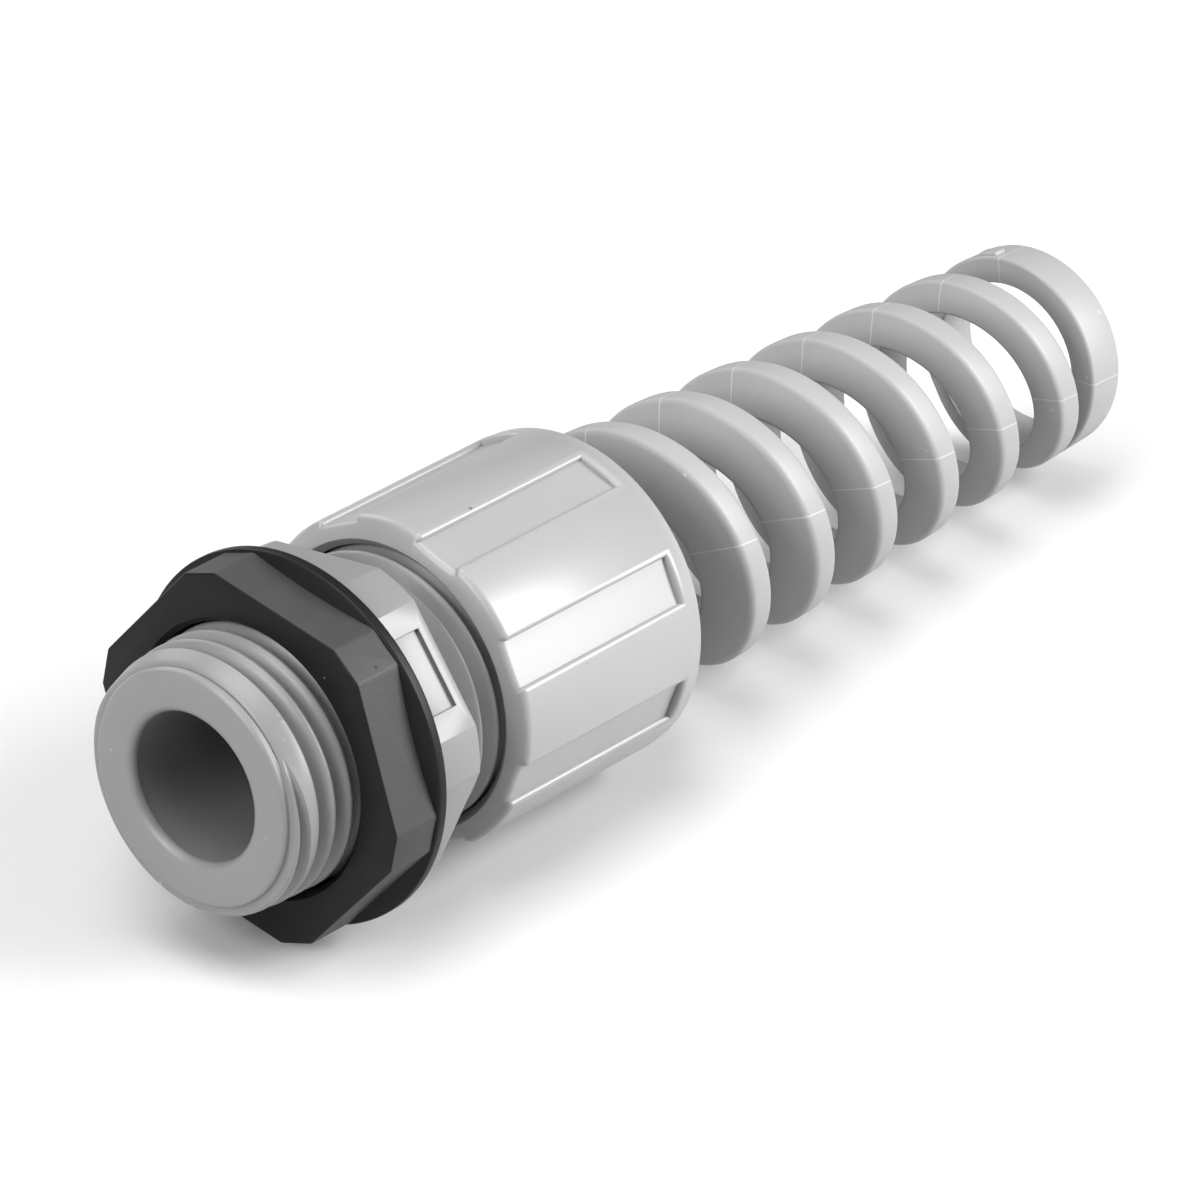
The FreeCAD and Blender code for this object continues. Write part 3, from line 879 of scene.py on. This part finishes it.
# The spiral: where its gap starts, at which turn angle in degrees, and the stretch of turns that its
# one long coil is wound over, from the root on the collar into the ring
GAP_START, GAP_TURN = 44.5, 137
COIL_START_TURNS, COIL_END_TURNS = 0.75, 7.25
COIL_STEPS = 96

# The coil is drawn at this even outer radius, and then tapered
DRAWN_RADIUS = 10.0
COIL_EDGE_ROUND, COIL_BORE_ROUND, COIL_ROUND_STEPS = 0.7, 0.25, 5

# How deep the coil reaches into the collar and the ring, and how far before the ring's end the taper
# stops. Until just before the gap starts, the coil's front flank is drawn into the collar
COLLAR_BITE, RING_BITE, TAPER_SHORT = 0.3, 0.4, 0.4
COLLAR_ROOT, ROOT_TURNS = 0.5, 0.006

# The collar with the neck and barb that snap into the nut's rear wall
NECK_RADIUS, BARB_RADIUS, BARB_LENGTH, BARB_SLOPE, BARB_CLEAR = 8.2, 8.6, 1.2, 0.6, 0.05
COLLAR_ROUND, COLLAR_BORE_ROUND = 0.2, 0.15

# The end ring's edges, and the trace of the mould's gate on it
RING_FRONT_ROUND, RING_REAR_ROUND = 0.3, 0.5
RING_FRONT_BORE_ROUND, RING_REAR_BORE_ROUND = 0.15, 0.3
GATE_START, GATE_END, GATE_WIDTH, GATE_TURN = 0.35, 1.7, 1.9, 19
GATE_SUNK, GATE_HIGH, GATE_ROUND, GATE_EDGE_ANGLE = 0.6, 0.36, 0.2, 30


def outer_radius(s, place):
    """The outer radius of the tapered spiral at a place."""
    fall = (s.base - s.tip) / (SPIRAL_END - TAPER_SHORT - COLLAR_START)
    return s.base - fall * (place - COLLAR_START)


def tapered_coil(s):
    """The long coil of the spiral, tapered, leaning and cut square at the collar and the ring."""
    half = s.band / 2
    wide = half + s.flank * (DRAWN_RADIUS - s.bore)
    section = rounded([
        (-wide, s.bore, COIL_BORE_ROUND), (-half, DRAWN_RADIUS, COIL_EDGE_ROUND),
        (half, DRAWN_RADIUS, COIL_EDGE_ROUND), (wide, s.bore, COIL_BORE_ROUND),
    ], COIL_ROUND_STEPS)
    place = GAP_START + s.pitch * (COIL_START_TURNS - 0.5)
    turn = math.radians(GAP_TURN) - math.tau * COIL_START_TURNS
    coil = coiled("tapered_spiral", section, place, turn, s.pitch, COIL_END_TURNS - COIL_START_TURNS,
                  COIL_STEPS)
    lean = at(0, math.tan(s.lean), s.lean_turn)

    def tapered(point):
        along = turns_of(point, place, turn, s.pitch)
        middle = place + s.pitch * along
        offset = point.x - middle
        depth = DRAWN_RADIUS - point.yz.length
        reach = middle + offset + lean.dot(point)
        share = (outer_radius(s, reach) - s.bore) / (DRAWN_RADIUS - s.bore)
        offset *= (half + s.flank * depth * share) / (half + s.flank * depth)
        if offset < 0 and along < 1 - COIL_START_TURNS - ROOT_TURNS:
            offset = min(offset, COLLAR_END - COLLAR_ROOT - middle - lean.dot(point))
        moved = at_radius(point, s.bore + (point.yz.length - s.bore) * share)
        moved.x = middle + offset
        moved.x += lean.dot(moved)
        return moved

    reshape(coil, tapered)
    for limit, normal in ((COLLAR_END - COLLAR_BITE, (-1, 0, 0)), (RING_START + RING_BITE, (1, 0, 0))):
        edit_all(coil)
        bpy.ops.mesh.bisect(plane_co=(limit, 0, 0), plane_no=normal, use_fill=True, clear_outer=True,
                            threshold=CUT_DISTANCE)
        close_edit()
    return coil


def add_collar(coil, s):
    """Joins on the collar, with the neck and barb that snap into the nut's rear wall."""
    barb_end = NUT_WALL_START - BARB_CLEAR
    barb = barb_end - BARB_LENGTH
    collar = lathed("collar", rounded([
        (barb, s.bore, 0), (barb, NECK_RADIUS, 0), (barb + BARB_SLOPE, BARB_RADIUS, 0),
        (barb_end, BARB_RADIUS, 0), (barb_end, NECK_RADIUS, 0), (COLLAR_START, NECK_RADIUS, 0),
        (COLLAR_START, s.base, COLLAR_ROUND), (COLLAR_END, outer_radius(s, COLLAR_END), COLLAR_ROUND),
        (COLLAR_END, s.bore, COLLAR_BORE_ROUND),
    ]))
    combine(coil, collar, "UNION")


def add_end_ring(coil, s):
    """Joins on the end ring, with the trace of the mould's gate beside its parting line."""
    ring = lathed("end_ring", rounded([
        (RING_START, s.bore, RING_FRONT_BORE_ROUND),
        (RING_START, outer_radius(s, RING_START), RING_FRONT_ROUND),
        (SPIRAL_END, s.tip, RING_REAR_ROUND), (SPIRAL_END, s.bore, RING_REAR_BORE_ROUND),
    ]))
    combine(coil, ring, "UNION")
    gate = block("gate_mark", RING_START + GATE_START, RING_START + GATE_END, GATE_WIDTH,
                 s.tip - GATE_SUNK, s.tip + GATE_HIGH, math.radians(GATE_TURN))
    soften(gate, GATE_ROUND, GATE_EDGE_ANGLE)
    combine(coil, gate, "UNION")


class CORDGRIP_OT_spiral(Operator):
    """Builds the tapered spiral between its collar and its end ring"""
    bl_idname = "cordgrip.spiral"
    bl_label = "Spiral"
    bl_options = {"REGISTER", "UNDO"}

    def execute(self, context):
        s = context.scene.cordgrip_spiral
        coil = tapered_coil(s)
        add_collar(coil, s)
        add_end_ring(coil, s)
        lay(coil, "spiral_matt_grey", "spiral", "bend_relief")
        return {"FINISHED"}


# The grommet

class CORDGRIP_OT_grommet(Operator):
    """Gives the rubber finish to the grommet inside the fingers"""
    bl_idname = "cordgrip.grommet"
    bl_label = "Grommet"
    bl_options = {"REGISTER", "UNDO"}

    def execute(self, context):
        grommet = frame["nodes"]["sealing_grommet"]
        grommet.data.materials.clear()
        grommet.data.materials.append(bpy.data.materials["grommet_rubber"])
        return {"FINISHED"}


# The stage, in metres: the floor, the point that every light faces, and the camera
FLOOR_SIZE, FLOOR_ROUGHNESS = 8, 0.7
LIT_POINT = Vector((0, 0, 0.01))
CAMERA_PLACE = (-0.415856, -0.34522, 0.32216)
CAMERA_ROTATION = (math.radians(59.90), 0, math.radians(-50.0))
LENS_MM, SENSOR_MM = 240, 36
NEAREST_SEEN = 0.01


def lay_floor(colour):
    """The pale floor that the part lies on."""
    clear_selection()
    bpy.ops.mesh.primitive_plane_add(size=FLOOR_SIZE, location=(0, 0, 0))
    floor = bpy.context.object
    floor.name = "floor"
    material = bpy.data.materials.new("floor_pale")
    material.use_nodes = True
    shader = material.node_tree.nodes["Principled BSDF"]
    shader.inputs["Base Color"].default_value = (*colour, 1)
    shader.inputs["Roughness"].default_value = FLOOR_ROUGHNESS
    floor.data.materials.append(material)


def soft_light(name, place, reach, watts):
    """A round soft light that faces the part."""
    bpy.ops.object.light_add(type="AREA", location=place)
    light = bpy.context.object
    light.name = name
    light.data.shape = "DISK"
    light.data.size = reach
    light.data.energy = watts
    light.rotation_euler = (LIT_POINT - Vector(place)).to_track_quat("-Z", "Y").to_euler()


def set_sky(scene, strength):
    """An even white light from all round."""
    world = bpy.data.worlds.new("studio")
    scene.world = world
    world.use_nodes = True
    sky = world.node_tree.nodes["Background"].inputs
    sky["Color"].default_value = (1, 1, 1, 1)
    sky["Strength"].default_value = strength


def place_camera(scene):
    """The camera of the photo's view."""
    bpy.ops.object.camera_add(location=CAMERA_PLACE, rotation=CAMERA_ROTATION)
    camera = bpy.context.object
    camera.data.lens = LENS_MM
    camera.data.sensor_width = SENSOR_MM
    camera.data.clip_start = NEAREST_SEEN
    scene.camera = camera


class CORDGRIP_OT_stage(Operator):
    """Sets the pale floor, the soft lights and the camera"""
    bl_idname = "cordgrip.stage"
    bl_label = "Stage"
    bl_options = {"REGISTER", "UNDO"}

    def execute(self, context):
        s = context.scene.cordgrip_stage
        lay_floor(s.floor)
        soft_light("key", place=(0.30, -0.45, 0.30), reach=0.45, watts=s.key)
        soft_light("top", place=(-0.15, 0.05, 0.65), reach=0.5, watts=s.top)
        soft_light("fill", place=(-0.55, 0.05, 0.35), reach=0.4, watts=s.fill)
        soft_light("back", place=(0.15, 0.55, 0.35), reach=0.5, watts=s.back)
        set_sky(context.scene, s.sky)
        context.scene.view_settings.view_transform = "Standard"
        place_camera(context.scene)
        return {"FINISHED"}


# The add-on

class CORDGRIP_PT_pieces(Panel):
    """Lists the pieces and their sizes"""
    bl_idname = "CORDGRIP_PT_pieces"
    bl_label = "Cord grip"
    bl_space_type = "VIEW_3D"
    bl_region_type = "UI"
    bl_category = "Cord grip"

    def draw(self, context):
        for label, step, settings in STEPS:
            box = self.layout.box()
            box.operator(step, text=label)
            if settings:
                group = getattr(context.scene, settings)
                for name in group.__annotations__:
                    box.prop(group, name)


STEPS = (
    ("Finishes", "cordgrip.finishes", "cordgrip_finish"),
    ("Moulded body", "cordgrip.body", "cordgrip_body"),
    ("Locknut", "cordgrip.locknut", "cordgrip_locknut"),
    ("Compression nut", "cordgrip.nut", "cordgrip_nut"),
    ("Spiral", "cordgrip.spiral", "cordgrip_spiral"),
    ("Grommet", "cordgrip.grommet", None),
    ("Stage", "cordgrip.stage", "cordgrip_stage"),
)
SETTINGS = {
    "cordgrip_finish": GripFinishSettings,
    "cordgrip_body": GripBodySettings,
    "cordgrip_locknut": GripLocknutSettings,
    "cordgrip_nut": GripNutSettings,
    "cordgrip_spiral": GripSpiralSettings,
    "cordgrip_stage": GripStageSettings,
}
CLASSES = (
    *SETTINGS.values(), CORDGRIP_OT_finishes, CORDGRIP_OT_body, CORDGRIP_OT_locknut, CORDGRIP_OT_nut,
    CORDGRIP_OT_spiral, CORDGRIP_OT_grommet, CORDGRIP_OT_stage, CORDGRIP_PT_pieces,
)


def register():
    for c in CLASSES:
        bpy.utils.register_class(c)
    for name, group in SETTINGS.items():
        setattr(bpy.types.Scene, name, PointerProperty(type=group))


def unregister():
    for name in SETTINGS:
        delattr(bpy.types.Scene, name)
    for c in reversed(CLASSES):
        bpy.utils.unregister_class(c)


def main():
    register()
    bpy.ops.cordgrip.finishes()
    bpy.ops.cordgrip.body()
    bpy.ops.cordgrip.locknut()
    bpy.ops.cordgrip.nut()
    bpy.ops.cordgrip.spiral()
    bpy.ops.cordgrip.grommet()
    bpy.ops.cordgrip.stage()


if __name__ == "__main__":
    main()
